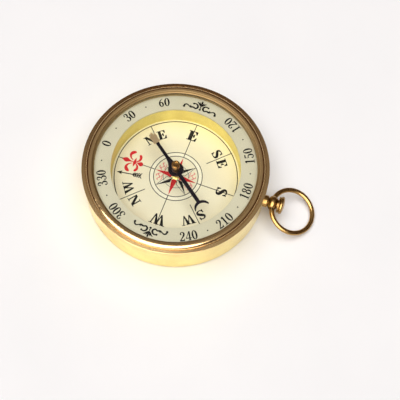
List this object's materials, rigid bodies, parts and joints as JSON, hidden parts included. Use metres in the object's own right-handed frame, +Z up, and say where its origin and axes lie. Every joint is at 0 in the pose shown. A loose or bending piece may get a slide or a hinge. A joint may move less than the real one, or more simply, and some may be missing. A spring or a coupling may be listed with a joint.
{
  "type": "pocket compass",
  "caption": "Round open-face brass pocket compass with a printed dial under a low-domed crystal, a pivoted needle, and a pendant carrying a hinged bow ring.",
  "frame": {"origin": "centre of the case's flat underside, on the surface it rests on", "axes": "+Z up through the needle pivot, out of the crystal; -Y along the pendant towards the bow; the dial's north mark is 3.3 degrees clockwise of +Y"},
  "size_m": [0.05, 0.0642, 0.0127],
  "materials": {
    "case_brass": "polished",
    "bezel_brass": "polished",
    "inner_brass": "satin",
    "dial_paper": "matte",
    "bearing_paper": "matte",
    "gasket": "matte",
    "crystal_glass": "clear",
    "pin_steel": "polished",
    "blued_steel": "blued",
    "needle_brass": "satin",
    "jewel": "polished",
    "pendant_brass": "polished",
    "bow_brass": "polished"
  },
  "bodies": {
    "case": {"case_body": "case_brass", "bezel": "bezel_brass", "dial_plate": "inner_brass", "dial_card": "dial_paper", "spacer_ring": "inner_brass", "bearing_card": "bearing_paper", "crystal_gasket": "gasket", "crystal": "crystal_glass", "pivot_post": "inner_brass", "pivot_pin": "pin_steel", "pendant": "pendant_brass", "pendant_nut": "inner_brass"},
    "needle": {"needle_blade": "blued_steel", "needle_tip": "needle_brass", "needle_cap": "needle_brass", "cap_jewel": "jewel"},
    "bow": {"bow_ring": "bow_brass"}
  },
  "joints": [
    {"name": "needle_spin", "type": "hinge", "parent": "case", "child": "needle", "pos_m": [0, 0, 0.0084], "axis": [0, 0, 1], "continuous": true},
    {"name": "bow_swing", "type": "hinge", "parent": "case", "child": "bow", "pos_m": [0, -0.0273, 0.0045], "axis": [-1, 0, 0], "range_deg": [-98, 127]}
  ]
}
